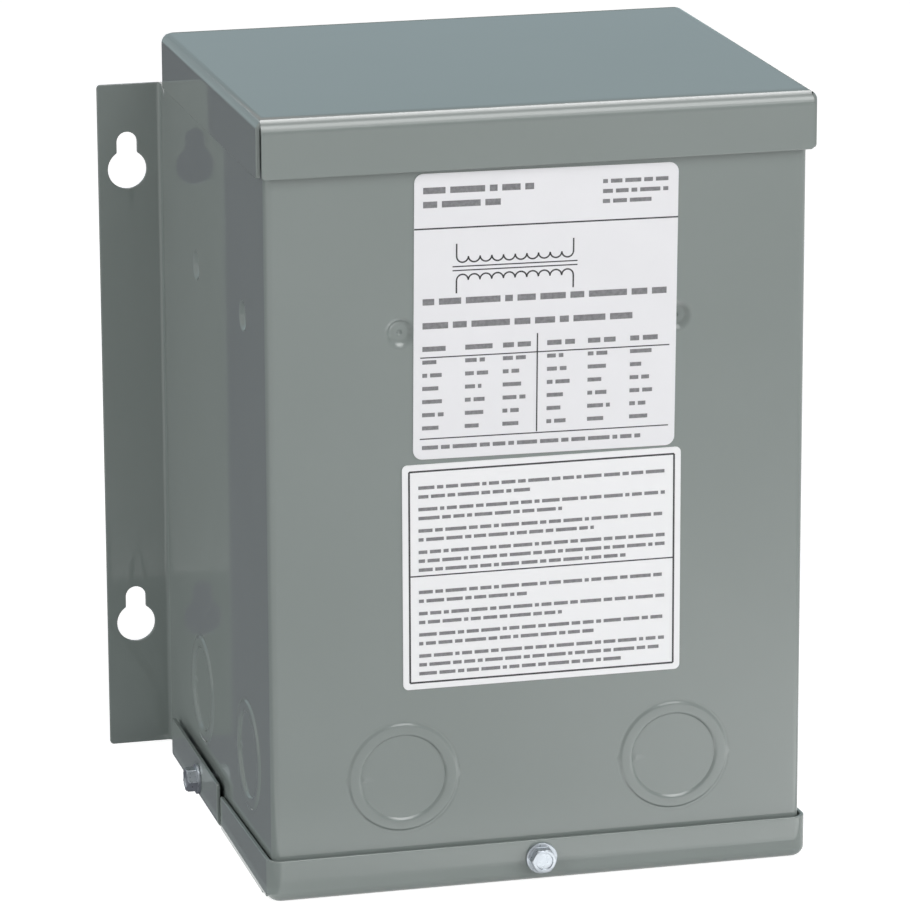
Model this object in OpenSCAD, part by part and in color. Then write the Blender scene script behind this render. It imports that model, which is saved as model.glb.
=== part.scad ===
// Buck boost transformer: a small potted transformer in a bent sheet-steel case for wall mounting.
// Millimetres, +Z up, front face towards -Y, resting on the bottom pan at Z = 0.

/* [Sheet] */
// thickness of the steel sheet of case, covers and back panel
sheet_t = 1.2; // [0.8:0.1:2]

/* [Case] */
// width over the outer faces of the two side walls
case_w = 165; // [130:1:220]
// depth from the front face to the rear face of the back panel
case_d = 137; // [110:1:180]
// height of the case's lower edge above the floor
case_z0 = 2.6; // [2:0.1:5]
// outer radius of the upright bends beside the front
case_bend = 2.5; // [2:0.1:5]

/* [Legs and flanges] */
// distance from the back panel's rear face to the flange's front face
leg_l = 16.6; // [12:0.2:25]
// width of a mounting flange beyond its side wall
flange_w = 20.3; // [19:0.1:26]
// inner radius of the bend between leg and flange
flange_bend = 1.3; // [1:0.1:2]
// radius of the flange's outer corners
flange_corner = 1.2; // [0.5:0.1:3]
// gap between the flange's top and the top cover's skirt
leg_drop = 1.2; // [1:0.1:4]
// length of the relief cut in the leg's upper edge beside the flange
relief_l = 6; // [4:0.2:9]
// depth of the relief cut in the leg's upper edge
relief_h = 3.4; // [2:0.2:6]

/* [Keyholes] */
// distance of a keyhole's centre line from the side wall
key_x = 11; // [10:0.1:12]
// height of the lower keyhole's entry circle above the floor
key_z = 43.3; // [30:0.2:60]
// distance from the flange's top down to the upper entry circle
key_down = 27.5; // [22:0.1:40]
// diameter of the entry circle that a screw head passes
key_entry_d = 12.4; // [11:0.1:14]
// width of the slot that holds the screw
key_slot_w = 6.5; // [5:0.1:8]
// rise from the entry circle's centre to the slot's end centre
key_rise = 8.8; // [8:0.1:12]

/* [Top cover] */
// overall height from the floor to the cover's top
overall_h = 239.2; // [200:0.2:280]
// height of the cover's skirt
cap_skirt = 17.5; // [12:0.1:24]
// overhang of the side and rear skirts beyond the case
cap_over = 2.5; // [2.4:0.1:4]
// overhang of the front skirt beyond the case
cap_front = 2.8; // [2.4:0.1:4]
// set-back of the front and rear skirts' ends from the side skirts
cap_end_in = 1.4; // [1:0.1:2]
// outer radius of the cover's top bends
cap_bend = 3; // [2:0.1:4]
// width of the open slot at each corner of the skirt
cap_slot = 0.6; // [0.6:0.1:2]
// radius of the front and rear skirts' lower corners
cap_corner = 1; // [0.6:0.1:3]
// radius of the side skirts' lower corners
cap_side_corner = 1.5; // [1:0.1:3]
// seat clearance between the case's upper edge and the cover
cap_seat = 0.3; // [0.1:0.05:0.5]

/* [Bottom pan] */
// height of the pan's front and rear skirts
pan_skirt = 13.3; // [12:0.1:18]
// overhang of the front skirt beyond the case
pan_front = 2.5; // [2.2:0.1:4]
// overhang of the wrapped front ears beyond the side walls
ear_over = 1.8; // [1.6:0.1:2.2]
// height of an ear at its rear end
ear_rear_h = 11; // [9:0.1:13]
// height of an ear's lower edge above the floor
ear_z0 = 0.4; // [0.2:0.1:1]
// flat of the floor inside the rounded front corner
ear_flat = 1; // [0.5:0.1:3]
// length of the relief cut under the front end of an ear
ear_relief_l = 6; // [4:0.5:10]
// height of the relief cut under the front end of an ear
ear_relief_h = 0.9; // [0.5:0.1:2]
// overhang of the rear side tabs beyond the side walls
tab_over = 2.7; // [2.4:0.1:4]
// height of the rear side tabs
tab_h = 14.7; // [12:0.1:18]
// radius of the free corners of tabs and ears
tab_corner = 1.4; // [0.8:0.1:3]
// overhang of the pan's rear skirt beyond the back panel
pan_rear = 2.7; // [2.4:0.1:4]
// outer radius of the pan's bottom bends
pan_bend = 3.4; // [2.4:0.1:4]
// gap between the rear end of an ear and the side tab behind it
tab_gap = 0.8; // [0.4:0.1:2]
// clearance between the pan's rear skirt and the back panel's lips
pan_clear = 1.2; // [0.8:0.1:2.4]

/* [Back panel] */
// depth of the panel's welded side lips behind its rear face
lip_d = 9; // [6:0.5:11]
// outer radius of the bend between panel and lip
lip_bend = 2.5; // [2:0.1:4]

/* [Knockouts and dents] */
// diameter of the outer knockout hole
ko_d = 34.9; // [28:0.1:36]
// diameter of the inner knockout disc
ko_in_d = 26; // [21:0.1:28.4]
// height of the knockouts' centres above the floor
ko_z = 36; // [34:0.2:45]
// distance of the front knockouts and dents from the middle
front_x = 42.2; // [30:0.2:55]
// depth of the first side knockout and dent behind the front face
side_y = 33; // [28:0.2:45]
// distance between the two knockouts or dents of one side
side_pitch = 68.2; // [50:0.2:75]
// cut width between a knockout's rings
ko_gap = 0.15; // [0.1:0.05:0.3]
// how far the knockout ring stands proud of the wall
ko_raise = 0.5; // [0.3:0.05:0.7]
// how far the knockout disc is set below the wall's face
ko_sink = 0.2; // [0.1:0.05:0.4]
// radius of the knockout ring's outer edges
ko_round = 0.45; // [0.2:0.05:0.6]
// width of a tie that holds a knockout
tie_w = 3.8; // [1.5:0.1:6]
// reach of a ring's tie over the wall
tie_l = 1.5; // [1:0.1:3]
// radius of a punched dent's flat bottom
dent_flat = 2.4; // [1.8:0.1:4]
// radius of the hollow bend round the dent's bottom
dent_in = 1.6; // [1:0.1:3]
// radius of the shoulder between the dent and the wall
dent_edge = 2; // [1:0.1:4]
// slope of the dent's side, in degrees
dent_slope = 50; // [30:1:55]
// radius of the small centre mark in a dent
mark_r = 0.9; // [0.5:0.1:1.5]
// depth of the small centre mark in a dent
mark_h = 0.45; // [0.2:0.05:0.6]
// distance of the dents' centres below the top cover's skirt
dent_down = 48.6; // [30:0.2:80]

/* [Cover screws] */
// height of the three screws above the floor
screw_z = 7.6; // [7.4:0.1:9]
// depth of the side screws behind the front face
screw_y = 97.5; // [85:0.5:120]
// diameter of the washer under the hexagon
washer_d = 9.6; // [8:0.1:10.4]
// thickness of the washer under the hexagon
washer_t = 1; // [0.6:0.1:1.5]
// width across the hexagon's flats
hex_af = 7; // [6:0.1:7.4]
// height of the hexagon
hex_h = 3.2; // [2.5:0.1:5]
// diameter of the round dish in the hexagon's top
dish_d = 5.2; // [3:0.1:5.6]
// depth of the round dish in the hexagon's top
dish_h = 0.5; // [0.2:0.1:1]
// diameter of the screw's thread
screw_d = 4.2; // [3.5:0.1:5]
// reach of the thread behind the case wall
screw_in = 3; // [2:0.5:6]
// radial clearance of the thread in the case wall
screw_clear = 0.1; // [0.05:0.05:0.2]
// radial clearance of the thread in the pan's skirt
pan_hole_clear = 0.3; // [0.2:0.05:0.6]

/* [Potted core] */
// height of the potted block's lower face above the floor
core_z0 = 80; // [65:1:110]
// gap between the potted block and the top cover
core_top_gap = 8; // [4:0.5:15]
// radius of the potted block's upright corners
core_corner = 4; // [3:0.5:8]
// clearance of the potted block round the dents
core_clear = 0.3; // [0.1:0.05:0.6]

/* [Labels] */
// thickness of a stuck-on label
label_t = 0.3; // [0.2:0.05:0.6]
// gap between the top cover's skirt and the upper label
label_top = 1.5; // [1:0.1:8]
// gap between the two labels
label_gap = 1.1; // [0.6:0.1:5]
// gap between the lower label and the knockouts
label_foot = 9.8; // [4:0.2:20]
// share of the labels' height that the upper one takes
upper_share = 0.55; // [0.3:0.01:0.7]
// width of the upper label
upper_w = 80.3; // [60:0.5:84]
// place of the upper label's middle to the right of the case's middle
upper_x = 2; // [-5:0.5:5]
// how far the upper label is turned in its plane, in degrees
upper_turn = -0.6; // [-2:0.1:2]
// corner radius of the upper label
upper_r = 2.8; // [1:0.1:6]
// width of the lower label
lower_w = 85.8; // [60:0.5:90]
// place of the lower label's middle to the right of the case's middle
lower_x = 0.9; // [-5:0.5:5]
// corner radius of the lower label
lower_r = 1.6; // [1:0.1:6]

/* [Hidden] */
// roundness of circles
$fn = 64;
// overlap of a cutting body beyond the face that it cuts
over = 1;
// half the case width
hw = case_w / 2;
// heights of the case's upper edge, the cover's skirt and the flange's top
case_top = overall_h - sheet_t - cap_seat;
cap_z0 = overall_h - cap_skirt;
flange_top = cap_z0 - leg_drop;
// depths of the flange's front face and of the cover's and pan's rear faces
flange_y = case_d + leg_l;
cap_back = case_d + cap_over;
pan_back = case_d + pan_rear;
// half widths over the cover's side skirts and the pan's side tabs and ears
cap_x = hw + cap_over;
tab_x = hw + tab_over;
ear_x = hw + ear_over;
// outer radius of the upright bend between front skirt and ear, and depth where the ear begins
ear_bend = pan_bend + ear_flat;
ear_front = ear_bend - pan_front;
// depth of the front ends of the cover's side skirts
cap_side = -cap_front + sheet_t + cap_slot;
// depth of the ear's rear end, in the middle of the case, and length of the side tab behind it
ear_end = case_d / 2;
tab_l = pan_back - ear_end - tab_gap;
// height of the dents' centres above the floor
dent_z = cap_z0 - dent_down;
// depth of a dent, where its two bends meet, and the radii there and at its rim
dent_h = (dent_in + dent_edge) * (1 - cos(dent_slope));
dent_meet_z = -dent_edge * (1 - cos(dent_slope));
dent_meet_r = dent_flat + dent_in * sin(dent_slope);
dent_rim = dent_meet_r + dent_edge * sin(dent_slope);
// heights and middles of the two labels
label_room = cap_z0 - label_top - label_foot - ko_z - ko_d / 2;
upper_h = label_room * upper_share;
lower_h = label_room - upper_h - label_gap;
upper_z = cap_z0 - label_top - upper_h / 2;
lower_z = ko_z + ko_d / 2 + label_foot + lower_h / 2;
// half width of the pan's rear skirt between the back panel's lips
pan_lip_x = hw - 2 * sheet_t - pan_clear;
// clear reach of the front screw, which sets the overall depth with the flange
front_reach = pan_front + washer_t + hex_h;
// depth of the middle of the overall box behind the case's front face
mid_y = (flange_y + sheet_t - front_reach) / 2;
// paint and zinc
paint = [0.45, 0.49, 0.48];
dark = [0.20, 0.20, 0.21];
zinc = [0.78, 0.79, 0.80];
white = [0.92, 0.92, 0.91];

// everything is drawn behind the case's front face and moved to the middle of the overall box
module placed() translate([0, -mid_y, 0]) children();

// both halves of a shape that is the same left and right
module both() {
  children();
  mirror([1, 0, 0]) children();
}

// quarter of a bend, in the corner of +X and +Y
module bend(outer) {
  intersection() {
    difference() {
      circle(r = outer);
      circle(r = outer - sheet_t);
    }
    square(outer);
  }
}

// outline drawn in X and Z, given a depth towards +Y
module upright(y, depth)
  translate([0, y + depth, 0]) rotate([90, 0, 0]) linear_extrude(depth) children();

// outline drawn in Y and Z, given a width on both sides of the middle
module across(half)
  translate([-half, 0, 0]) rotate([90, 0, 90]) linear_extrude(2 * half) children();

// outline drawn in Y and Z, one sheet thick towards +X
module thick_across() rotate([90, 0, 90]) linear_extrude(sheet_t) children();

// flat strip of a skirt with its two lower corners rounded
module skirt_face(w, h, r) {
  translate([0, r]) square([w, h - r]);
  translate([r, 0]) square([w - 2 * r, h]);
  for (x = [r, w - r]) translate([x, r]) circle(r = r);
}

// puts a piece drawn on an XY plane, facing +Z, on the front wall
module on_front(x, z) translate([x, 0, z]) rotate([90, 0, 0]) children();

// puts a piece drawn on an XY plane, facing +Z, on the left or right wall
module on_side(side, y, z)
  translate([side * hw, y, z]) rotate([0, 0, side * 90]) rotate([90, 0, 0]) children();

// plan of the right half of the bent case: front, side wall, leg and the bend to the flange
module wrap_plan() {
  square([hw - case_bend, sheet_t]);
  translate([hw - case_bend, case_bend]) mirror([0, 1, 0]) bend(case_bend);
  translate([hw - sheet_t, case_bend]) square([sheet_t, flange_y - flange_bend - case_bend]);
  translate([hw + flange_bend, flange_y - flange_bend]) mirror([1, 0, 0]) bend(flange_bend + sheet_t);
}

// keyhole: round entry with a slot above it
module keyhole() {
  circle(d = key_entry_d);
  translate([-key_slot_w / 2, 0]) square([key_slot_w, key_rise]);
  translate([0, key_rise]) circle(d = key_slot_w);
}

// face of the right flange with its two keyholes
module flange_face() {
  difference() {
    union() {
      translate([hw + flange_bend, case_z0])
        square([flange_w - flange_bend - flange_corner, flange_top - case_z0]);
      translate([hw + flange_w - 2 * flange_corner, case_z0 + flange_corner])
        square([2 * flange_corner, flange_top - case_z0 - 2 * flange_corner]);
      for (z = [case_z0 + flange_corner, flange_top - flange_corner])
        translate([hw + flange_w - flange_corner, z]) circle(r = flange_corner);
    }
    for (z = [key_z, flange_top - key_down]) translate([hw + key_x, z]) keyhole();
  }
}

// every place on the case walls where a knockout or a dent of the given height sits
module at_walls(z) {
  for (x = [-front_x, front_x]) on_front(x, z) children();
  for (s = [-1, 1], y = [side_y, side_y + side_pitch]) on_side(s, y, z) children();
}

// inside bump of a dent, drawn on a wall facing +Z, with room round it where it is used as a cut
module dent_bump(room) translate([0, 0, -dent_h - sheet_t - room])
  cylinder(r = dent_meet_r + sheet_t + room, h = dent_h + sheet_t / 2 + room);

// hollow of a dent: flat bottom, two bends and centre mark, drawn on a wall facing +Z
module dent_hollow() {
  rotate_extrude() {
    translate([0, -dent_h]) square([dent_flat, dent_h + over]);
    intersection() {
      translate([dent_flat, dent_in - dent_h]) circle(r = dent_in);
      translate([0, -dent_h]) square([dent_meet_r, dent_h + dent_meet_z]);
    }
    translate([0, dent_meet_z]) square([dent_meet_r, over - dent_meet_z]);
    difference() {
      translate([dent_meet_r, dent_meet_z]) square([dent_rim - dent_meet_r, over - dent_meet_z]);
      translate([dent_rim, -dent_edge]) circle(r = dent_edge);
    }
  }
  translate([0, 0, mark_r - mark_h - dent_h]) sphere(r = mark_r);
}

// one sheet bent into flange, side, front, side and flange, with knockouts, dents and keyholes
module case_wrap() color(paint) placed() {
  difference() {
    union() {
      translate([0, 0, case_z0]) linear_extrude(case_top - case_z0) both() wrap_plan();
      both() upright(flange_y, sheet_t) flange_face();
      at_walls(dent_z) dent_bump(0);
    }
    // notch behind the back panel, where the cover's rear skirt comes down
    translate([-case_w, case_d, flange_top]) cube([2 * case_w, flange_y, overall_h]);
    // relief cuts where the legs' upper edges meet the flanges
    across(2 * hw) polygon([[flange_y + sheet_t + over, flange_top + over], [flange_y, flange_top],
      [flange_y - relief_l, flange_top - relief_h], [flange_y - relief_l, flange_top + over]]);
    at_walls(dent_z) dent_hollow();
    at_walls(ko_z) translate([0, 0, -sheet_t - over]) cylinder(d = ko_d, h = sheet_t + 2 * over);
    on_front(0, screw_z) translate([0, 0, -sheet_t - over])
      cylinder(r = screw_d / 2 + screw_clear, h = sheet_t + 2 * over);
    for (s = [-1, 1]) on_side(s, screw_y, screw_z) translate([0, 0, -sheet_t - over])
      cylinder(r = screw_d / 2 + screw_clear, h = sheet_t + 2 * over);
  }
}

// half of the cover seen from the front: top and bend to the side skirt
module cap_front_view() {
  translate([0, overall_h - sheet_t]) square([cap_x - cap_bend, sheet_t]);
  translate([cap_x - cap_bend, overall_h - cap_bend]) bend(cap_bend);
}

// half of the cover's filled outline seen from the front, which rounds the ends of the other two bends
module cap_outline() {
  square([cap_x - cap_bend, overall_h]);
  square([cap_x, overall_h - cap_bend]);
  translate([cap_x - cap_bend, overall_h - cap_bend]) circle(r = cap_bend);
}

// cover seen from the side: top with the bends to the front and rear skirts
module cap_side_view() {
  translate([-cap_front + cap_bend, overall_h - cap_bend]) mirror([1, 0, 0]) bend(cap_bend);
  translate([-cap_front + cap_bend, overall_h - sheet_t])
    square([cap_back + cap_front - 2 * cap_bend, sheet_t]);
  translate([cap_back - cap_bend, overall_h - cap_bend]) bend(cap_bend);
}

// top cover: a flat lid with four skirts and open slots at the corners
module top_cover() color(paint) placed() {
  drop = cap_skirt - cap_bend;
  side_l = cap_back + cap_front - 2 * sheet_t - 2 * cap_slot;
  front_w = cap_x - cap_end_in;
  upright(cap_side, side_l) both() cap_front_view();
  intersection() {
    across(front_w) cap_side_view();
    upright(-cap_front, cap_back + cap_front) both() cap_outline();
  }
  for (y = [-cap_front, cap_back - sheet_t])
    upright(y, sheet_t) translate([-front_w, cap_z0]) skirt_face(2 * front_w, drop, cap_corner);
  both() translate([cap_x - sheet_t, 0, 0]) thick_across()
    translate([cap_side, cap_z0]) skirt_face(side_l, drop, cap_side_corner);
}

// pan seen from the side between the ears: front skirt, bend and the floor up to the ears' ends
module pan_side_view() {
  translate([-pan_front, pan_bend]) square([sheet_t, pan_skirt - pan_bend]);
  translate([-pan_front + pan_bend, pan_bend]) mirror([1, 0, 0]) mirror([0, 1, 0]) bend(pan_bend);
  translate([-pan_front + pan_bend, 0]) square([pan_back + pan_front - 2 * pan_bend, sheet_t]);
}

// rear skirt of the pan seen from the side
module pan_rear_view() {
  translate([pan_back - 2 * pan_bend, 0]) square([pan_bend, sheet_t]);
  translate([pan_back - pan_bend, pan_bend]) mirror([0, 1, 0]) bend(pan_bend);
  translate([pan_back - sheet_t, pan_bend]) square([sheet_t, pan_skirt - pan_bend]);
}

// half of the pan's rear part seen from the front: floor and bend to the side tab
module pan_tab_view() {
  square([tab_x - pan_bend, sheet_t]);
  translate([tab_x - pan_bend, pan_bend]) mirror([0, 1, 0]) bend(pan_bend);
}

// right front corner: the skirt and its lower bend carried round the corner by a quarter turn
module pan_corner() {
  translate([ear_x - ear_bend, ear_front, 0]) intersection() {
    rotate_extrude() {
      square([ear_flat, sheet_t]);
      translate([ear_flat, pan_bend]) mirror([0, 1, 0]) bend(pan_bend);
      translate([ear_bend - sheet_t, pan_bend]) square([sheet_t, pan_skirt - pan_bend]);
    }
    translate([0, -ear_bend, 0]) cube([ear_bend, ear_bend, pan_skirt]);
  }
}

// side view of an ear: lower at its rear end, one lower corner rounded, a relief cut at the other
module ear_side() {
  low = ear_z0 + ear_relief_h;
  difference() {
    polygon([[ear_front, low], [ear_front + ear_relief_l, low], [ear_front + ear_relief_l, ear_z0],
      [ear_end, ear_z0], [ear_end, ear_rear_h], [ear_front, pan_skirt]]);
    translate([ear_end - tab_corner, ear_z0 - over]) square([tab_corner + over, tab_corner + over]);
  }
  translate([ear_end - tab_corner, ear_z0 + tab_corner]) circle(r = tab_corner);
}

// bottom pan: floor, front skirt with wrapped ears, rear side tabs and rear skirt
module bottom_pan() color(paint) placed() {
  difference() {
    union() {
      across(ear_x - ear_bend) pan_side_view();
      across(pan_lip_x) pan_rear_view();
      upright(ear_end + tab_gap, tab_l) both() pan_tab_view();
      both() translate([tab_x - sheet_t, 0, 0]) thick_across()
        translate([ear_end + tab_gap, tab_h]) mirror([0, 1, 0])
          skirt_face(tab_l, tab_h - pan_bend, tab_corner);
      linear_extrude(sheet_t) both() translate([0, ear_front])
        square([tab_x - pan_bend, ear_end + tab_gap - ear_front]);
      both() pan_corner();
      both() translate([ear_x - sheet_t, 0, 0]) thick_across() ear_side();
    }
    on_front(0, screw_z) translate([0, 0, -over])
      cylinder(r = screw_d / 2 + pan_hole_clear, h = pan_front + 2 * over);
    for (s = [-1, 1]) on_side(s, screw_y, screw_z) translate([0, 0, -over])
      cylinder(r = screw_d / 2 + pan_hole_clear, h = tab_over + 2 * over);
  }
}

// plan of the right half of the back panel with its welded lip
module panel_plan() {
  translate([0, case_d - sheet_t]) square([hw - sheet_t - lip_bend, sheet_t]);
  translate([hw - sheet_t - lip_bend, case_d - sheet_t + lip_bend]) mirror([0, 1, 0]) bend(lip_bend);
  translate([hw - 2 * sheet_t, case_d - sheet_t + lip_bend])
    square([sheet_t, lip_d + sheet_t - lip_bend]);
}

// back panel, set in between the side walls, with lips along the legs
module back_panel() color(paint) placed() {
  translate([0, 0, case_z0]) linear_extrude(flange_top - case_z0) both() panel_plan();
  translate([-hw + sheet_t, case_d - sheet_t, flange_top])
    cube([case_w - 2 * sheet_t, sheet_t, case_top - flange_top]);
}

// potted block of core, coils and resin that fills the upper part of the case
module potted_core() color(dark) placed() {
  difference() {
    translate([0, 0, core_z0]) linear_extrude(overall_h - sheet_t - core_top_gap - core_z0) {
      translate([-hw + sheet_t, sheet_t + core_corner])
        square([case_w - 2 * sheet_t, case_d - 2 * sheet_t - 2 * core_corner]);
      translate([-hw + sheet_t + core_corner, sheet_t])
        square([case_w - 2 * sheet_t - 2 * core_corner, case_d - 2 * sheet_t]);
      for (x = [-1, 1], y = [sheet_t + core_corner, case_d - sheet_t - core_corner])
        translate([x * (hw - sheet_t - core_corner), y]) circle(r = core_corner);
    }
    at_walls(dent_z) dent_bump(core_clear);
  }
}

// blank label with round corners, drawn about its middle and facing +Z
module label(w, h, r) {
  linear_extrude(label_t) {
    translate([-w / 2 + r, -h / 2]) square([w - 2 * r, h]);
    translate([-w / 2, -h / 2 + r]) square([w, h - 2 * r]);
    for (x = [r - w / 2, w / 2 - r], y = [r - h / 2, h / 2 - r]) translate([x, y]) circle(r = r);
  }
}

module upper_label() color(white) placed()
  on_front(upper_x, upper_z) rotate([0, 0, upper_turn]) label(upper_w, upper_h, upper_r);

module lower_label() color(white) placed()
  on_front(lower_x, lower_z) label(lower_w, lower_h, lower_r);

// hexagon screw with a washer under its head, drawn with the seat at Z = 0 and the head towards +Z
module hex_screw(reach) {
  cylinder(d = washer_d, h = washer_t);
  difference() {
    intersection() {
      translate([0, 0, washer_t]) cylinder(d = hex_af / cos(30), h = hex_h, $fn = 6);
      translate([0, 0, washer_t]) cylinder(d1 = hex_af + 2 * hex_h, d2 = hex_af, h = hex_h);
    }
    translate([0, 0, washer_t + hex_h - dish_h]) cylinder(d = dish_d, h = dish_h + over);
  }
  translate([0, 0, -reach]) cylinder(d = screw_d, h = reach + washer_t / 2);
}

module screw_front() color(zinc) placed()
  on_front(0, screw_z) translate([0, 0, pan_front]) hex_screw(pan_front + sheet_t + screw_in);

module screw_side(side) color(zinc) placed()
  on_side(side, screw_y, screw_z) translate([0, 0, tab_over]) hex_screw(tab_over + sheet_t + screw_in);

module screw_left() screw_side(-1);
module screw_right() screw_side(1);

// outer knockout ring with round edges and two ties, proud of the wall, drawn facing +Z
module ko_ring() {
  inner = ko_in_d / 2 + ko_gap;
  outer = ko_d / 2 - ko_gap;
  low = ko_raise - sheet_t;
  rotate_extrude() {
    translate([inner, low]) square([outer - inner, sheet_t - ko_round]);
    translate([inner + ko_round, low]) square([outer - inner - 2 * ko_round, sheet_t]);
    for (r = [inner + ko_round, outer - ko_round])
      translate([r, ko_raise - ko_round]) circle(r = ko_round);
  }
  linear_extrude(ko_raise / 2) both()
    polygon([[outer - tie_l, -tie_w / 2], [outer, -tie_w / 2], [outer + tie_l, 0],
      [outer, tie_w / 2], [outer - tie_l, tie_w / 2]]);
}

// inner knockout disc, set below the wall's face, with a tie on each side, drawn facing +Z
module ko_disc() {
  translate([0, 0, -ko_sink - sheet_t]) {
    cylinder(d = ko_in_d, h = sheet_t);
    translate([-ko_in_d / 2 - ko_gap, -tie_w / 2, sheet_t / 2])
      cube([ko_in_d + 2 * ko_gap, tie_w, sheet_t / 2]);
  }
}

module ring_front_left() color(paint) placed() on_front(-front_x, ko_z) ko_ring();
module ring_front_right() color(paint) placed() on_front(front_x, ko_z) ko_ring();
module ring_left_front() color(paint) placed() on_side(-1, side_y, ko_z) ko_ring();
module ring_left_rear() color(paint) placed() on_side(-1, side_y + side_pitch, ko_z) ko_ring();
module ring_right_front() color(paint) placed() on_side(1, side_y, ko_z) ko_ring();
module ring_right_rear() color(paint) placed() on_side(1, side_y + side_pitch, ko_z) ko_ring();

module disc_front_left() color(paint) placed() on_front(-front_x, ko_z) ko_disc();
module disc_front_right() color(paint) placed() on_front(front_x, ko_z) ko_disc();
module disc_left_front() color(paint) placed() on_side(-1, side_y, ko_z) ko_disc();
module disc_left_rear() color(paint) placed() on_side(-1, side_y + side_pitch, ko_z) ko_disc();
module disc_right_front() color(paint) placed() on_side(1, side_y, ko_z) ko_disc();
module disc_right_rear() color(paint) placed() on_side(1, side_y + side_pitch, ko_z) ko_disc();

case_wrap();
top_cover();
bottom_pan();
back_panel();
potted_core();
upper_label();
lower_label();
screw_front();
screw_left();
screw_right();
ring_front_left();
ring_front_right();
ring_left_front();
ring_left_rear();
ring_right_front();
ring_right_rear();
disc_front_left();
disc_front_right();
disc_left_front();
disc_left_rear();
disc_right_front();
disc_right_rear();
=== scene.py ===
# %% [markdown]
# # A small potted transformer in a painted steel case
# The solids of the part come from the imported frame, in metres, and stay where they are.
# This lesson gives them what a drawing does not have: softened sheet edges, paint, zinc, stuck-on
# labels, studio light and the camera. Each step says what the thing is on the real object first.

# %% Load the frame
import math

import bpy
from mathutils import Matrix, Vector


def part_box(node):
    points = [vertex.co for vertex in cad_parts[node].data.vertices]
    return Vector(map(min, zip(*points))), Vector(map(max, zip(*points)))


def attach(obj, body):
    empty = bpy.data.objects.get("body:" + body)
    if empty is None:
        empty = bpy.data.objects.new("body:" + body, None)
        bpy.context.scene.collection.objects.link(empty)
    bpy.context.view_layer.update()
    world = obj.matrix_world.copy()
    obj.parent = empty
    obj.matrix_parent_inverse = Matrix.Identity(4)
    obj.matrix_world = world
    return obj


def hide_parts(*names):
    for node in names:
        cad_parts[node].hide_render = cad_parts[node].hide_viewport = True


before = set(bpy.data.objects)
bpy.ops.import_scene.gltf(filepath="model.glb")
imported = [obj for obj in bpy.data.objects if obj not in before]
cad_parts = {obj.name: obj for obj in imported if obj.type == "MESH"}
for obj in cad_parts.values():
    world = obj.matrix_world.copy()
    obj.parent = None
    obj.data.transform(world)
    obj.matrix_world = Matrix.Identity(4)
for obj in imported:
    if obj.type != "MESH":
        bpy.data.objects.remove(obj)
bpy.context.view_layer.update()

MM = 0.001

# %% [markdown]
# ## The camera
# A product picture is taken from far away with a long lens, so that upright edges stay almost
# parallel. The camera could be placed by eye; here its turn, height, tilt and distance were solved
# from corners of the case whose places are known, and they are written down as plain numbers.

# %% Camera
TURN, HEIGHT, TILT = math.radians(-14.158), math.radians(15.216), math.radians(-0.235)
AIM, DISTANCE, LENS = Vector((-0.010631, -0.01405, 0.118111)), 1.6985, 218.49

back = Vector((math.sin(TURN) * math.cos(HEIGHT), -math.cos(TURN) * math.cos(HEIGHT), math.sin(HEIGHT)))
level = (-back).cross(Vector((0, 0, 1))).normalized()
rise = level.cross(-back)
right = math.cos(TILT) * level + math.sin(TILT) * rise
up = math.cos(TILT) * rise - math.sin(TILT) * level

bpy.ops.object.select_all(action="DESELECT")
bpy.ops.object.camera_add()
camera = bpy.context.object
camera.name = "studio_camera"
facing = Matrix((right, up, back)).transposed().to_4x4()
camera.matrix_world = Matrix.Translation(AIM + DISTANCE * back) @ facing
camera.data.sensor_width = 36
camera.data.lens = LENS
bpy.context.scene.camera = camera
print("camera at", [round(v, 3) for v in camera.location])

# %% [markdown]
# ## The paint
# The case is sprayed with a grey-green machine enamel. Three things make it read as paint: a slow
# drift of tone over a hand's width, a fine orange peel that breaks up reflections, and a gloss that
# varies a little from spot to spot. All three are noises on Object coordinates, so they stay on the
# sheet from every side. What is the same all over is set on the shader's own sockets.

# %% Helpers for node materials, with the span of a noise and the stops of a ramp
NOISE_ENDS, RAMP_STOPS = (0.3, 0.7), (0.2, 0.8)


def new_finish(name):
    finish = bpy.data.materials.new(name)
    finish.use_nodes = True
    nodes, links = finish.node_tree.nodes, finish.node_tree.links
    return finish, nodes, links, nodes["Principled BSDF"], nodes.new("ShaderNodeTexCoord").outputs["Object"]


def noise(nodes, links, place, scale, detail):
    node = nodes.new("ShaderNodeTexNoise")
    node.inputs["Scale"].default_value = scale
    node.inputs["Detail"].default_value = detail
    links.new(place, node.inputs["Vector"])
    return node.outputs["Fac"]


def spread(nodes, links, value, low, high):
    node = nodes.new("ShaderNodeMapRange")
    node.inputs["From Min"].default_value, node.inputs["From Max"].default_value = NOISE_ENDS
    node.inputs["To Min"].default_value = low
    node.inputs["To Max"].default_value = high
    links.new(value, node.inputs["Value"])
    return node.outputs["Result"]


def two_tones(nodes, links, value, first, second):
    node = nodes.new("ShaderNodeValToRGB")
    node.color_ramp.interpolation = "EASE"
    node.color_ramp.elements[0].position, node.color_ramp.elements[1].position = RAMP_STOPS
    node.color_ramp.elements[0].color = (*first, 1)
    node.color_ramp.elements[1].color = (*second, 1)
    links.new(value, node.inputs["Fac"])
    return node.outputs["Color"]


def bumps(nodes, links, value, shader, distance, strength):
    node = nodes.new("ShaderNodeBump")
    node.inputs["Distance"].default_value = distance
    node.inputs["Strength"].default_value = strength
    links.new(value, node.inputs["Height"])
    links.new(node.outputs["Normal"], shader.inputs["Normal"])


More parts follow.
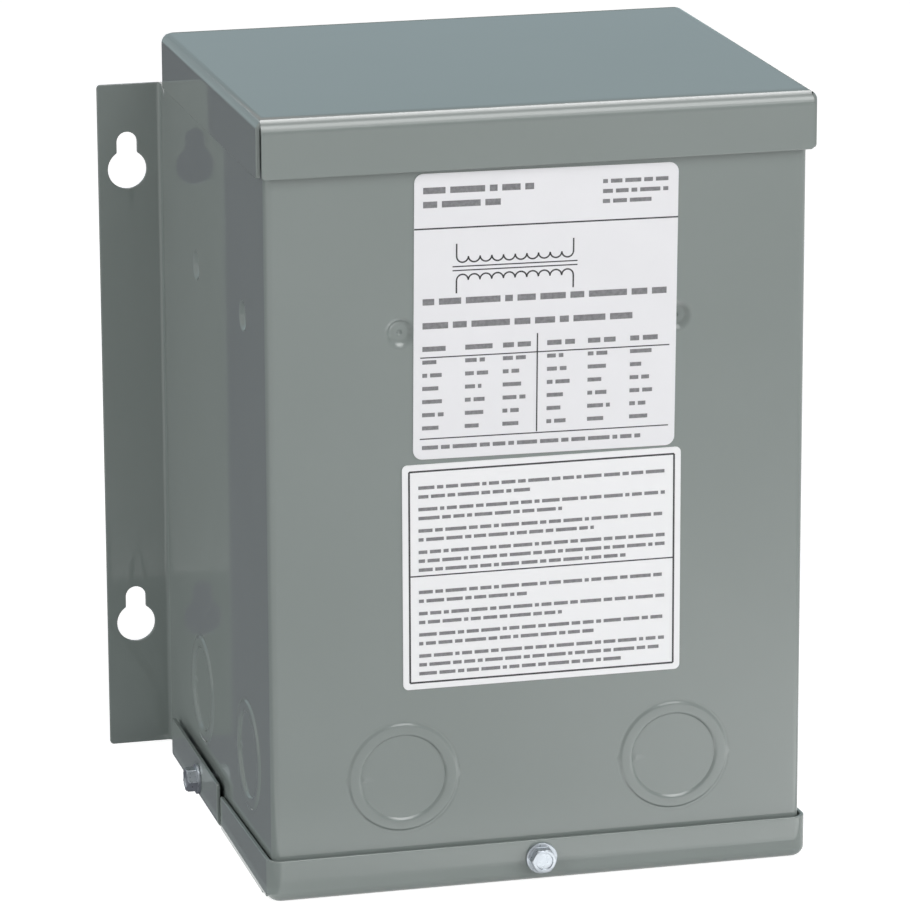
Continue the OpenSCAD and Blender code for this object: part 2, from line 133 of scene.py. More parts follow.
# %% Paint of the sheet steel
paint, nodes, links, shader, place = new_finish("grey_enamel")
tone = two_tones(nodes, links, noise(nodes, links, place, 14, 4), (0.228, 0.262, 0.250), (0.240, 0.274, 0.263))
links.new(tone, shader.inputs["Base Color"])
links.new(spread(nodes, links, noise(nodes, links, place, 60, 3), 0.035, 0.055), shader.inputs["Roughness"])
bumps(nodes, links, noise(nodes, links, place, 420, 2), shader, 0.0001, 0.03)
shader.inputs["IOR"].default_value = 1.48
print("paint made:", paint.name)

# %% [markdown]
# ## Zinc, resin, label film and ink
# The three screws have a zinc coat that has gone a little dull, so it is only partly metallic, with a
# faint blue cast and patchy gloss. The block inside is dark potting resin with sand in it. The labels
# are a smooth white film, the lower one whiter, and their print is a matt dark or grey ink. A picture
# could give such tones; here each is one Principled shader with its own noises at its own scale.

# %% Zinc of the screws
zinc, nodes, links, shader, place = new_finish("bright_zinc")
tone = two_tones(nodes, links, noise(nodes, links, place, 500, 3), (0.33, 0.36, 0.39), (0.40, 0.43, 0.46))
links.new(tone, shader.inputs["Base Color"])
links.new(spread(nodes, links, noise(nodes, links, place, 900, 2), 0.26, 0.36), shader.inputs["Roughness"])
bumps(nodes, links, noise(nodes, links, place, 2500, 2), shader, 0.00005, 0.12)
shader.inputs["Metallic"].default_value = 0.65
print("zinc made:", zinc.name)

# %% Potting resin
resin, nodes, links, shader, place = new_finish("potting_resin")
tone = two_tones(nodes, links, noise(nodes, links, place, 350, 5), (0.030, 0.030, 0.032), (0.060, 0.058, 0.056))
links.new(tone, shader.inputs["Base Color"])
links.new(spread(nodes, links, noise(nodes, links, place, 200, 3), 0.45, 0.7), shader.inputs["Roughness"])
bumps(nodes, links, noise(nodes, links, place, 600, 4), shader, 0.0005, 0.4)
print("resin made:", resin.name)

# %% Label film and ink
films = {}
for label, first, second in (("upper_label", (0.865, 0.865, 0.89), (0.89, 0.89, 0.915)),
                             ("lower_label", (0.93, 0.935, 0.95), (0.945, 0.95, 0.965))):
    films[label], nodes, links, shader, place = new_finish("white_film_" + label)
    tone = two_tones(nodes, links, noise(nodes, links, place, 40, 3), first, second)
    links.new(tone, shader.inputs["Base Color"])
    links.new(spread(nodes, links, noise(nodes, links, place, 120, 2), 0.38, 0.48), shader.inputs["Roughness"])
    bumps(nodes, links, noise(nodes, links, place, 900, 2), shader, 0.00005, 0.08)

ink, nodes, links, shader, place = new_finish("dark_ink")
tone = two_tones(nodes, links, noise(nodes, links, place, 900, 3), (0.022, 0.022, 0.024), (0.045, 0.045, 0.048))
links.new(tone, shader.inputs["Base Color"])
links.new(spread(nodes, links, noise(nodes, links, place, 300, 2), 0.5, 0.6), shader.inputs["Roughness"])

grey_ink, nodes, links, shader, place = new_finish("grey_ink")
tone = two_tones(nodes, links, noise(nodes, links, place, 900, 3), (0.16, 0.16, 0.17), (0.26, 0.26, 0.27))
links.new(tone, shader.inputs["Base Color"])
links.new(spread(nodes, links, noise(nodes, links, place, 300, 2), 0.5, 0.6), shader.inputs["Roughness"])
print("finishes:", [m.name for m in (paint, zinc, resin, *films.values(), ink, grey_ink)])

# %% [markdown]
# ## Sheet edges
# A sheared and painted sheet has no knife edge: the shear rolls it over and the paint builds up on
# it, so every edge catches a thin line of light. The edge could be faked in the material; real bevels
# hold from any distance. Each sheet's mesh is copied from its node, its loose triangles are merged,
# flat triangles are dissolved to whole faces, and a bevel modifier rounds the edges before it is applied.
# Edges at short notches and bend ends stay sharp, as a bevel there would run past the sheet.

# %% Copy a node's mesh and soften its edges
MERGE, FLAT, SHARP, SMOOTH = 0.005 * MM, math.radians(0.4), math.radians(35), math.radians(50)


def softened(node, edge, finish, stays_sharp=None, reshape=None):
    bpy.ops.object.select_all(action="DESELECT")
    piece = bpy.data.objects.new(node + "_painted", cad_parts[node].data.copy())
    bpy.context.scene.collection.objects.link(piece)
    piece.select_set(True)
    bpy.context.view_layer.objects.active = piece
    bpy.ops.object.mode_set(mode="EDIT")
    bpy.ops.mesh.select_mode(type="EDGE")
    bpy.ops.mesh.select_all(action="SELECT")
    bpy.ops.mesh.remove_doubles(threshold=MERGE)
    bpy.ops.mesh.dissolve_limited(angle_limit=FLAT)
    if reshape:
        reshape(piece)
    bpy.ops.mesh.select_mode(type="EDGE")
    bpy.ops.mesh.select_all(action="DESELECT")
    bpy.ops.mesh.edges_select_sharp(sharpness=SHARP)
    bpy.ops.object.mode_set(mode="OBJECT")
    points = piece.data.vertices
    weight = piece.data.attributes.new("bevel_weight_edge", "FLOAT", "EDGE")
    for line in piece.data.edges:
        middle = (points[line.vertices[0]].co + points[line.vertices[1]].co) / 2
        weight.data[line.index].value = float(line.select and not (stays_sharp and stays_sharp(middle)))
    if piece.data.has_custom_normals:
        bpy.ops.mesh.customdata_custom_splitnormals_clear()
    bevel = piece.modifiers.new("rolled_edge", "BEVEL")
    bevel.width, bevel.segments, bevel.limit_method = edge, 3, "WEIGHT"
    bevel.use_clamp_overlap = False
    bpy.ops.object.modifier_apply(modifier="rolled_edge")
    bpy.ops.object.shade_smooth_by_angle(angle=SMOOTH)
    even = piece.modifiers.new("even_faces", "WEIGHTED_NORMAL")
    even.keep_sharp = True
    bpy.ops.object.modifier_apply(modifier="even_faces")
    piece.data.materials.clear()
    piece.data.materials.append(finish)
    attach(piece, "root")
    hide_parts(node)
    low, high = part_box(node)
    first, last = piece.bound_box[0], piece.bound_box[6]
    over = [round(max(low[i] - first[i], last[i] - high[i]) / MM, 2) for i in range(3)]
    print(piece.name, len(piece.data.polygons), "faces, past its solid by", over, "mm")


# %% [markdown]
# ## The lid's front bend
# The lid is folded down at the front, and the fold shows two bands of light. On the solid the fold is
# tight, and the flat sheet ends over it in a small ledge. The fold could be spun anew; here the ledge's
# points slide back on to the fold, and the outside of the fold is then stretched back and down, which
# leaves the lid's top and front where they are.

# %% Points of the lid, by how far they lie behind its front and below its top
LID, BEND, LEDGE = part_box("top_cover"), 3 * MM, 1.8 * MM
FULLER = (1, 2.2, 1.4)
print("lid from", [round(v, 4) for v in LID[0]], "to", [round(v, 4) for v in LID[1]])


def place_on_lid(point):
    return point.co.y - LID[0].y, max(LID[1].z - point.co.z, 0)


def on_ledge(behind, below):
    return abs(behind - LEDGE) < 0.02 * MM and below < 0.24 * MM


def outside_of_bend(behind, below):
    outside = math.hypot(BEND - behind, BEND - below) > BEND - 0.05 * MM
    return max(behind, below) < BEND + 0.01 * MM and outside


def pick(piece, chosen):
    bpy.ops.mesh.select_mode(type="VERT")
    bpy.ops.mesh.select_all(action="DESELECT")
    bpy.ops.object.mode_set(mode="OBJECT")
    for point in piece.data.vertices:
        point.select = chosen(*place_on_lid(point))
    bpy.ops.object.mode_set(mode="EDIT")


# %% Slide the ledge back and stretch the fold
def fuller_front_bend(piece):
    bpy.ops.object.mode_set(mode="OBJECT")
    ledge = [place_on_lid(point) for point in piece.data.vertices if on_ledge(*place_on_lid(point))]
    bpy.ops.object.mode_set(mode="EDIT")
    for behind, below in sorted(set(ledge)):
        pick(piece, lambda y, z: y == behind and z == below)
        on_fold = BEND - math.sqrt(BEND ** 2 - (BEND - below) ** 2)
        bpy.ops.transform.translate(value=(0, on_fold - behind, 0))
    pick(piece, outside_of_bend)
    bpy.ops.transform.resize(value=FULLER, center_override=(0, LID[0].y, LID[1].z))
    bpy.ops.mesh.select_all(action="SELECT")
    bpy.ops.mesh.remove_doubles(threshold=MERGE)
    print("ledge points moved:", len(ledge))


# %% Sheets and screws
SHEET_EDGE, SKIRT_EDGE, SCREW_EDGE = 0.3 * MM, 0.35 * MM, 0.15 * MM
SLOT, NOTCH = LID[1].x - 1.3 * MM, 220.5 * MM
PAN_FOOT, PAN_CORNER = 3.6 * MM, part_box("case_wrap")[0].y + 9 * MM
PAN_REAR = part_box("bottom_pan")[1].y - 6 * MM


def at_lid_slot(spot):
    return abs(abs(spot.x) - SLOT) < 0.25 * MM and spot.y < 0


def at_panel_notch(spot):
    return abs(spot.z - NOTCH) < 2.5 * MM


def at_pan_bends(spot):
    return spot.z < PAN_FOOT and not PAN_CORNER < spot.y < PAN_REAR


softened("case_wrap", SHEET_EDGE, paint)
softened("top_cover", SKIRT_EDGE, paint, at_lid_slot, fuller_front_bend)
softened("back_panel", SHEET_EDGE, paint, at_panel_notch)
softened("bottom_pan", SKIRT_EDGE, paint, at_pan_bends)
for side in ("front", "left", "right"):
    softened("screw_" + side, SCREW_EDGE, zinc)

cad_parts["potted_core"].data.materials.clear()
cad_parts["potted_core"].data.materials.append(resin)

# %% [markdown]
# ## Knockouts
# Six cable entries are closed by blanks. A punch has cut a ring and a disc almost free and left small
# ties; the ring stands a hair proud of the wall and the disc a hair below it. The paint has run over
# the cuts, so the eye sees soft ridges and no gaps. A screw modifier could turn such a profile; here a
# circle is extruded step by step, each new loop scaled and lifted, which keeps every point in sight.

# %% Profiles of ring and disc: radius and height over the wall, in millimetres
RING = [(12.8, -0.7), (12.8, -0.3), (12.88, -0.2), (13.02, -0.07), (13.28, 0.19), (13.42, 0.33),
        (13.58, 0.43), (13.85, 0.49), (14.5, 0.515), (15.2, 0.52), (15.9, 0.51), (16.15, 0.49),
        (16.35, 0.43), (16.5, 0.32), (16.78, 0.06), (16.92, -0.03), (17.15, -0.06), (17.36, -0.07),
        (17.55, -0.06), (17.75, -0.02), (17.95, 0.012), (18.1, 0.0), (18.1, -0.1), (17.3, -0.1),
        (17.3, -0.7), (12.8, -0.7)]
DISC = [(4, -0.9), (13.3, -0.9), (13.3, -0.3), (13.0, -0.2), (12.5, -0.2), (12.1, -0.2), (11.7, -0.2),
        (11.3, -0.2), (8, -0.2), (4, -0.2)]
ROUND, CLOSE, BLANK_SMOOTH = 160, 0.002 * MM, math.radians(40)
STEP = 360 / ROUND


def turned(name, profile):
    bpy.ops.object.select_all(action="DESELECT")
    bpy.ops.mesh.primitive_circle_add(vertices=ROUND, radius=profile[0][0] * MM, fill_type="NOTHING")
    piece = bpy.context.object
    piece.name = name
    bpy.ops.object.mode_set(mode="EDIT")
    bpy.ops.mesh.select_all(action="SELECT")
    bpy.ops.transform.translate(value=(0, 0, profile[0][1] * MM))
    for (r0, z0), (r1, z1) in zip(profile, profile[1:]):
        bpy.ops.mesh.extrude_region_move(TRANSFORM_OT_translate={"value": (0, 0, (z1 - z0) * MM)})
        bpy.ops.transform.resize(value=(r1 / r0, r1 / r0, 1), center_override=(0, 0, 0))
    bpy.ops.mesh.select_all(action="SELECT")
    bpy.ops.mesh.remove_doubles(threshold=CLOSE)
    bpy.ops.mesh.fill_holes(sides=0)
    bpy.ops.mesh.select_all(action="SELECT")
    bpy.ops.mesh.normals_make_consistent(inside=False)
    bpy.ops.object.mode_set(mode="OBJECT")
    print(name, [round(v * 1000, 2) for v in piece.dimensions], "mm,", len(piece.data.polygons), "faces")
    return piece


def pull(piece, chosen, move):
    bpy.ops.object.mode_set(mode="EDIT")
    bpy.ops.mesh.select_all(action="DESELECT")
    bpy.ops.object.mode_set(mode="OBJECT")
    for point in piece.data.vertices:
        angle = math.degrees(math.atan2(point.co.y, point.co.x))
        point.select = chosen(point.co.xy.length / MM, angle, point.co.z / MM)
    bpy.ops.object.mode_set(mode="EDIT")
    bpy.ops.transform.translate(value=move)
    bpy.ops.object.mode_set(mode="OBJECT")


# %% One ring with its pointed ties, one disc with its small tie
RING_TIE, DISC_TIE = ((-2, 0.4), (-1, 1.0), (0, 1.4), (1, 1.0), (2, 0.4)), 0.18 * MM
RIM = 16.9


def in_column(angle, side, column):
    return abs((angle - side + 180) % 360 - 180 - column * STEP) < STEP / 3


def at_disc_tie(radius, angle, height):
    return 11.6 < radius < 12.2 and height > -0.5 and abs(abs(angle) - 180) < 3


ring = turned("ring_pattern", RING)
for side in (0, 180):
    for column, reach in RING_TIE:
        pull(ring, lambda r, a, z: r > RIM and z > -0.2 and in_column(a, side, column),
             (reach * MM * math.cos(math.radians(side)), 0, 0))
disc = turned("disc_pattern", DISC)
pull(disc, at_disc_tie, (0, 0, DISC_TIE))


# %% Six rings and six discs on the walls
def stand_in(pattern, node, face_in, turn):
    low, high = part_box(node)
    spot = (low + high) / 2
    axis = 1 if turn == 0 else 0
    spot[axis] = low[axis] + face_in if turn <= 0 else high[axis] - face_in
    bpy.ops.object.select_all(action="DESELECT")
    piece = bpy.data.objects.new(node + "_blank", pattern.data.copy())
    bpy.context.scene.collection.objects.link(piece)
    piece.select_set(True)
    bpy.context.view_layer.objects.active = piece
    facing = Matrix.Rotation(math.radians(turn), 4, "Z") @ Matrix.Rotation(math.radians(90), 4, "X")
    piece.matrix_world = Matrix.Translation(spot) @ facing
    bpy.ops.object.transform_apply()
    bpy.ops.object.shade_smooth_by_angle(angle=BLANK_SMOOTH)
    piece.data.materials.append(paint)
    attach(piece, "root")
    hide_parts(node)


RAISE, SINK = 0.5 * MM, 0.2 * MM
for wall, turn in (("front_left", 0), ("front_right", 0), ("left_front", -90), ("left_rear", -90),
                   ("right_front", 90), ("right_rear", 90)):
    stand_in(ring, "ring_" + wall, RAISE, turn)
    stand_in(disc, "disc_" + wall, -SINK, turn)
bpy.data.objects.remove(ring)
bpy.data.objects.remove(disc)
print("knockouts: 6 rings, 6 discs")

# %% [markdown]
# ## Labels
# Two white films are stuck on the front, the upper one a little askew. They could be drawn into the
# paint; as films they keep a thin edge. Each starts as a plane of the label's size; its four corner
# points are beveled to the corner radius and the face is extruded to the film's thickness. The places
# come from the frame, so the films lie on the wall like the solids do.

# %% A film with round corners
def label_film(node, wide, tall, corner, askew):
    low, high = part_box(node)
    middle = (low + high) / 2
    bpy.ops.object.select_all(action="DESELECT")
    bpy.ops.mesh.primitive_plane_add(size=1)
    piece = bpy.context.object
    piece.name = node + "_film"
    piece.scale = (wide, tall, 1)
    bpy.ops.object.transform_apply(location=False, rotation=False, scale=True)
    bpy.ops.object.mode_set(mode="EDIT")
    bpy.ops.mesh.select_all(action="SELECT")
    bpy.ops.mesh.bevel(offset=corner, offset_type="OFFSET", segments=6, affect="VERTICES")
    bpy.ops.mesh.select_all(action="SELECT")
    bpy.ops.mesh.extrude_region_move(TRANSFORM_OT_translate={"value": (0, 0, high.y - low.y)})
    bpy.ops.mesh.select_all(action="SELECT")
    bpy.ops.mesh.normals_make_consistent(inside=False)
    bpy.ops.object.mode_set(mode="OBJECT")
    turn = Matrix.Rotation(math.radians(90), 4, "X") @ Matrix.Rotation(math.radians(askew), 4, "Z")
    piece.matrix_world = Matrix.Translation((middle.x, high.y, middle.z)) @ turn
    bpy.ops.object.transform_apply()
    piece.data.materials.append(films[node])
    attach(piece, "root")
    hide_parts(node)
    print(piece.name, [round(v * 1000, 1) for v in (wide, tall)], "mm")
    return middle, low.y


# width, height and corner in millimetres, and how far askew in degrees
UPPER = (80.3, 86.3, 2.8, -0.6)
LOWER = (85.8, 69.5, 1.6, 0.0)
upper_middle, upper_face = label_film("upper_label", *(v * MM for v in UPPER[:3]), UPPER[3])
lower_middle, lower_face = label_film("lower_label", *(v * MM for v in LOWER[:3]), LOWER[3])

# %% [markdown]
# ## Print on the labels
# A rating plate carries rules, a winding diagram and lines of small type. Nothing on this one can be
# read: where words stand there are plain bars, as a printer sets them in a blank form. The print could
# be painted by the material; as raised ink it stays sharp at any distance. Bars are planes added in
# edit mode and stretched, a turn of the winding is a disc that is inset and cut in half, and at the end
# the whole sheet of print is extruded by the ink's thickness.

# %% Words of a blank form, as bars: middle, level, width and height in millimetres
WORDS = (6.1, 2.4, 4.6, 7.2, 1.6, 3.8, 5.3, 2.9, 8.0, 3.3, 4.2, 1.9, 6.7)


def line_of_words(left, right, level, tall, start):
    bars, at, turn = [], left, start
    while at + 1 < right:
        wide = min(WORDS[turn % len(WORDS)] * tall / 1.3, right - at)
        if wide > 0.8:
            bars.append((at + wide / 2, level, wide, tall))
        at, turn = at + wide + 0.75 * tall, turn + 1
    return bars


def paragraph(left, right, top, pitch, lines, tall, start, last=0.6):
    bars = []
    for line in range(lines):
        end = right if line < lines - 1 else left + last * (right - left)
        bars += line_of_words(left, end, top - line * pitch, tall, start + 5 * line)
    return bars


# %% One turn of the winding diagram
def half_turn(radius, line):
    bpy.ops.object.select_all(action="DESELECT")
    bpy.ops.mesh.primitive_circle_add(vertices=32, radius=radius * MM, fill_type="NGON")
    turn = bpy.context.object
    bpy.ops.object.mode_set(mode="EDIT")
    bpy.ops.mesh.select_mode(type="FACE")
    bpy.ops.mesh.select_all(action="SELECT")
    bpy.ops.mesh.inset(thickness=line * MM)
    bpy.ops.mesh.delete(type="FACE")
    bpy.ops.mesh.select_all(action="SELECT")
    bpy.ops.mesh.bisect(plane_co=(0, 0, 0), plane_no=(0, 1, 0), clear_inner=True)
    bpy.ops.object.mode_set(mode="OBJECT")
    return turn


# %% A sheet of print laid on its film
INK, LINE = 0.04 * MM, 0.45


def sheet_of_print(name, bars, turns, finish, middle, face, askew):
    parts = []
    for at, level, radius, facing in turns:
        turn = half_turn(radius, LINE)
        spot = Matrix.Translation((at * MM, level * MM, 0))
        turn.matrix_world = spot @ Matrix.Rotation(facing, 4, "Z")
        bpy.ops.object.transform_apply()
        parts.append(turn)
    bpy.ops.object.select_all(action="DESELECT")
    bpy.ops.mesh.primitive_plane_add(size=MM)
    piece = bpy.context.object
    piece.name = name
    bpy.ops.object.mode_set(mode="EDIT")
    bpy.ops.mesh.delete(type="VERT")
    for at, level, wide, tall in bars:
        spot = (at * MM, level * MM, 0)
        bpy.ops.mesh.primitive_plane_add(size=MM, location=spot)
        bpy.ops.transform.resize(value=(wide, tall, 1), center_override=spot)
    bpy.ops.object.mode_set(mode="OBJECT")
    for turn in parts:
        turn.select_set(True)
    bpy.context.view_layer.objects.active = piece
    bpy.ops.object.join()
    bpy.ops.object.mode_set(mode="EDIT")
    bpy.ops.mesh.select_all(action="SELECT")
    bpy.ops.mesh.extrude_region_move(TRANSFORM_OT_translate={"value": (0, 0, INK)})
    bpy.ops.mesh.select_all(action="SELECT")
    bpy.ops.mesh.normals_make_consistent(inside=False)
    bpy.ops.object.mode_set(mode="OBJECT")
    turned_up = Matrix.Rotation(math.radians(90), 4, "X") @ Matrix.Rotation(math.radians(askew), 4, "Z")
    piece.matrix_world = Matrix.Translation((middle.x, face, middle.z)) @ turned_up
    bpy.ops.object.transform_apply()
    piece.data.materials.append(finish)
    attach(piece, "root")
    print(name, len(bars), "bars,", len(turns), "turns,", len(piece.data.polygons), "faces")


# %% Rating plate: rules, winding diagram, lines and a table
half_w = UPPER[0] / 2
rules = [(0, 26.6, 2 * half_w, LINE)]
rules += [(-9.5, 14.9, 38, 0.35), (-9.5, 13.7, 38, 0.35)]
turns = []
for level, lead, facing in ((17.9, 1.9, math.pi), (10.7, -1.9, 0)):
    turns += [(-25.5 + 3.55 * turn, level, 2.0, facing) for turn in range(10)]
    for end in (-27.3, 8.25):
        rules.append((end, level + lead, LINE, 3.9))
rules += [(-2.5, -21.5, 0.4, 30)]
rules += [(0, level, 2 * half_w - 4, 0.35) for level in (-12.2, -36.9)]
words = paragraph(-37.5, -4, 38, 4.2, 2, 1.9, 2, 0.7) + paragraph(17, 37, 38.4, 3.0, 3, 1.2, 4, 0.8)
words += paragraph(-37.5, 37, 4.6, 7.2, 2, 1.9, 1, 0.86)
for column, start in ((-37.5, 0), (-24.5, 3), (-13, 7), (0.5, 5), (13, 9), (26, 1)):
    for row in range(7):
        tall = 1.5 if row == 0 else 1.2
        end = column + (8.5 if row == 0 else 5 + (start + row) % 3)
        words += line_of_words(column, end, -9.6 - 4.0 * row, tall, start + 2 * row)[:2]
words += paragraph(-37.5, 37, -39.6, 2.3, 1, 1.2, 6, 0.9)
sheet_of_print("upper_label_rules", rules, turns, ink, upper_middle, upper_face, UPPER[3])
sheet_of_print("upper_label_words", words, [], grey_ink, upper_middle, upper_face, UPPER[3])

# %% Lower label: a frame, a rule and paragraphs
half_w, half_h, margin = LOWER[0] / 2, LOWER[1] / 2, 2.1
rules = [(0, side * (half_h - margin), 2 * (half_w - margin), 0.55) for side in (-1, 1)]
rules += [(side * (half_w - margin), 0, 0.55, 2 * (half_h - margin)) for side in (-1, 1)]
rules += [(0, 0.4, 2 * (half_w - margin), 0.4)]
words = []
for top, start in ((27.6, 0), (-4.6, 6)):
    for block, lines in ((0, 2), (1, 2), (2, 2), (3, 3)):
        level = top - 6.6 * block
        words += paragraph(-38, 38, level, 2.75, lines, 1.05, start + 3 * block, 0.45 + 0.13 * block)
sheet_of_print("lower_label_rules", rules, [], ink, lower_middle, lower_face, LOWER[3])
sheet_of_print("lower_label_words", words, [], grey_ink, lower_middle, lower_face, LOWER[3])

# %% [markdown]
# ## The studio
# The part stands on a plain pale floor in soft light: a broad panel from the front right, a smaller one
# high in front, two from the left and two weak ones behind. The floor and the world are pale to the
# camera and in mirrors, while the light that they throw on the part is weaker, so the colours stay as
# they were mixed. All but the high panel are hidden from mirrors, or the lid would show them as white.
# A white world alone could light the part, but its faces would hardly differ.

# %% Levels of light
SOFT_LIGHT, SOFT_COLOUR = 0.15, (1.0, 1.0, 1.0, 1)
FLOOR_TONE, FLOOR_GLOW = (0.8, 0.8, 0.8, 1), 0.75
# colours of the painted reflections on the lid and the left wall, and strengths of the painted highlights that
# the pools give in mirrors
LID_CARD, WALL_CARD = (0.51, 0.645, 0.69), (0.080, 0.075, 0.104)
CORNER_POOL, PAN_POOL, REAR_POOL, FRONT_POOL = 2.9, 1.1, 5.8, 7.0
BOUNCE = (0.72, 0.72, 0.72)
AIMED_AT, SEEN_IN_MIRRORS = Vector((0, 0, 0.12)), "front_top_panel"
PANELS = {  # place, width, height and power
    "front_top_panel": ((0.40, -1.25, 1.45), 0.9, 0.9, 7.5),
    "front_panel": ((1.95, -1.65, 0.6), 1.7, 1.3, 32.5),
    "left_panel": ((-1.5, -1.0, 0.7), 0.9, 0.9, 9.2),
    "left_wall_panel": ((-1.7, 0.1, 0.5), 0.8, 0.8, 5.3),
    "rear_left_panel": ((-1.1, 1.7, 1.2), 0.8, 0.8, 2),
    "rear_right_panel": ((1.7, 1.0, 1.1), 0.8, 0.8, 4),
}

# %% Floor, seen as white
bpy.ops.object.select_all(action="DESELECT")
bpy.ops.mesh.primitive_plane_add(size=12)
floor = bpy.context.object
floor.name = "pale_floor"
pale = bpy.data.materials.new("pale_floor")
pale.use_nodes = True
nodes, links = pale.node_tree.nodes, pale.node_tree.links
nodes.clear()


def seen_directly(nodes, links):
    path = nodes.new("ShaderNodeLightPath")
    first = nodes.new("ShaderNodeMath")
    first.operation = "MAXIMUM"
    links.new(path.outputs["Is Camera Ray"], first.inputs[0])
    links.new(path.outputs["Is Glossy Ray"], first.inputs[1])
    both = nodes.new("ShaderNodeMath")
    both.operation = "MAXIMUM"
    links.new(first.outputs[0], both.inputs[0])
    links.new(path.outputs["Is Transmission Ray"], both.inputs[1])
    return both.outputs[0]


matt = nodes.new("ShaderNodeBsdfDiffuse")
matt.inputs["Color"].default_value = FLOOR_TONE
glow = nodes.new("ShaderNodeEmission")
glow.inputs["Strength"].default_value = FLOOR_GLOW
lit = nodes.new("ShaderNodeAddShader")
links.new(matt.outputs[0], lit.inputs[0])
links.new(glow.outputs[0], lit.inputs[1])
choose = nodes.new("ShaderNodeMixShader")
links.new(seen_directly(nodes, links), choose.inputs["Fac"])
links.new(matt.outputs[0], choose.inputs[1])
links.new(lit.outputs[0], choose.inputs[2])
links.new(choose.outputs[0], nodes.new("ShaderNodeOutputMaterial").inputs["Surface"])
floor.data.materials.append(pale)
print("floor:", [round(v, 1) for v in floor.dimensions], "m")

# %% World
world = bpy.data.worlds.new("studio")
bpy.context.scene.world = world
world.use_nodes = True
nodes, links = world.node_tree.nodes, world.node_tree.links
nodes.clear()
soft = nodes.new("ShaderNodeBackground")
soft.inputs["Color"].default_value = SOFT_COLOUR
soft.inputs["Strength"].default_value = SOFT_LIGHT
white = nodes.new("ShaderNodeBackground")
choose = nodes.new("ShaderNodeMixShader")
links.new(seen_directly(nodes, links), choose.inputs["Fac"])
links.new(soft.outputs[0], choose.inputs[1])
links.new(white.outputs[0], choose.inputs[2])
links.new(choose.outputs[0], nodes.new("ShaderNodeOutputWorld").inputs["Surface"])
print("world light:", SOFT_LIGHT)

# %% [markdown]
# ## Cards
# Gloss paint shows the room. As a photographer sets cards round the part, outside the picture, for the
# paint to mirror, glowing sheets here paint its reflections: a grey-blue one far behind for the lid, and
# a dark one on the floor beside the left wall, a painted dark reflection. Soft painted pools of light lie
# on the floor before the front, painted highlights for its lower right and for the pan, and two hang
# overhead, painted highlights for the two bands on the lid's front bend. Lamps could do it, but would
# light all of the part; cards and pools only stand in mirrors and throw neither light nor shadow. One
# small card does the opposite: it throws light from the floor on the left flange and no mirror shows it.

# %% A card that only mirrors see
def card(name, spot, turn, wide, tall, colour):
    bpy.ops.object.select_all(action="DESELECT")
    bpy.ops.mesh.primitive_plane_add(size=1, location=spot, rotation=turn)
    sheet = bpy.context.object
    sheet.name = name
    sheet.scale = (wide, tall, 1)
    bpy.ops.object.transform_apply()
    sheet.visible_camera = sheet.visible_diffuse = sheet.visible_shadow = sheet.visible_transmission = False
    tint = bpy.data.materials.new(name)
    tint.use_nodes = True
    nodes, links = tint.node_tree.nodes, tint.node_tree.links
    nodes.clear()
    glow = nodes.new("ShaderNodeEmission")
    glow.inputs["Color"].default_value = (*colour, 1)
    links.new(glow.outputs[0], nodes.new("ShaderNodeOutputMaterial").inputs["Surface"])
    sheet.data.materials.append(tint)
    return sheet


UPRIGHT, LYING = (math.radians(90), 0, 0), (0, 0, 0)
# both cards glow and only mirrors see them: a painted grey-blue reflection on the lid, a painted dark
# reflection on the left wall
card("lid_card", (0.4, 2.6, 0.73), UPRIGHT, 9, 1.46, LID_CARD)
card("wall_card", (-0.642, 1.245, 0.002), LYING, 1.116, 2.71, WALL_CARD)
print("cards: lid and wall")


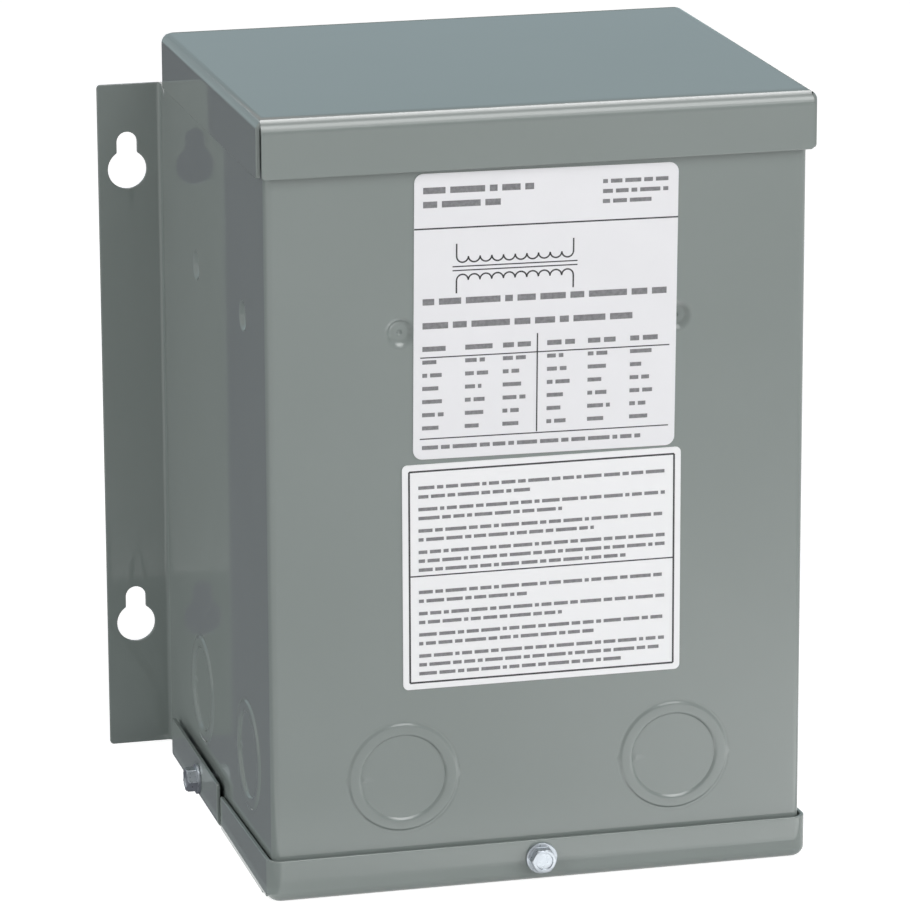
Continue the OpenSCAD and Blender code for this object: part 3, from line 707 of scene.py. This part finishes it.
# %% Soft pools of light, brightest in the middle, also for mirrors alone
def pool(name, spot, wide, tall, middle, reach, light, turn=-TURN, most=100):
    sheet = card(name, spot, LYING, wide, tall, (1, 1, 1))
    nodes, links = sheet.data.materials[0].node_tree.nodes, sheet.data.materials[0].node_tree.links
    shift = nodes.new("ShaderNodeMapping")
    shift.vector_type = "TEXTURE"
    shift.inputs["Location"].default_value = middle
    shift.inputs["Rotation"].default_value = (0, 0, turn)
    shift.inputs["Scale"].default_value = reach
    links.new(nodes.new("ShaderNodeTexCoord").outputs["Object"], shift.inputs["Vector"])
    fade = nodes.new("ShaderNodeTexGradient")
    fade.gradient_type = "QUADRATIC_SPHERE"
    links.new(shift.outputs[0], fade.inputs["Vector"])
    gain = nodes.new("ShaderNodeMath")
    gain.operation = "MULTIPLY"
    gain.inputs[1].default_value = light
    links.new(fade.outputs["Fac"], gain.inputs[0])
    level = nodes.new("ShaderNodeMath")
    level.operation = "MINIMUM"
    level.inputs[1].default_value = most
    links.new(gain.outputs[0], level.inputs[0])
    glow = nodes["Emission"]
    links.new(level.outputs[0], glow.inputs["Strength"])
    both = nodes.new("ShaderNodeAddShader")
    links.new(glow.outputs[0], both.inputs[0])
    links.new(nodes.new("ShaderNodeBsdfTransparent").outputs[0], both.inputs[1])
    links.new(both.outputs[0], nodes["Material Output"].inputs["Surface"])


# %% Two pools on the floor, two overhead with their light held level in the middle
# these pools glow for mirrors alone: painted highlights on the front's lower right, on the pan and in the two
# bands of the lid's front bend
pool("corner_pool", (0.21, -0.385, 0.003), 0.58, 0.6, (0.13, -0.08, 0.0), (0.26, 0.75, 1.0), CORNER_POOL)
pool("pan_pool", (0.0, -0.135, 0.004), 0.5, 0.1, (0.0, -0.09, 0.0), (0.28, 0.07, 1.0), PAN_POOL)
pool("rear_pool", (0.36, 1.1, 1.74), 2.0, 2.8, (0.36, 1.2, 1.74), (1.6, 1.5, 1.0),
     2.4 * REAR_POOL, turn=0, most=REAR_POOL)
pool("front_pool", (0.36, -0.55, 1.72), 2.0, 1.8, (0.36, -0.55, 1.72), (1.6, 0.9, 1.0),
     1.9 * FRONT_POOL, turn=0, most=FRONT_POOL)
print("pools: corner, pan, rear and front")

# %% The small card that throws light
bounce = card("bounce_card", (-0.175, -0.03, 0.005), LYING, 0.18, 0.2, BOUNCE)
bounce.visible_diffuse, bounce.visible_glossy = True, False
print("bounce card:", [round(v, 2) for v in bounce.dimensions], "m")


# %% Lamps
def panel(name, spot, wide, tall, power):
    bpy.ops.object.light_add(type="AREA", location=spot)
    lamp = bpy.context.object
    lamp.name = name
    lamp.rotation_euler = (AIMED_AT - Vector(spot)).to_track_quat("-Z", "Y").to_euler()
    lamp.data.shape, lamp.data.size, lamp.data.size_y = "RECTANGLE", wide, tall
    lamp.data.energy = power
    lamp.visible_camera, lamp.visible_glossy = False, name == SEEN_IN_MIRRORS


for name, (spot, wide, tall, power) in PANELS.items():
    panel(name, spot, wide, tall, power)
print("lamps:", len(PANELS))
bpy.context.scene.view_settings.view_transform = "Standard"
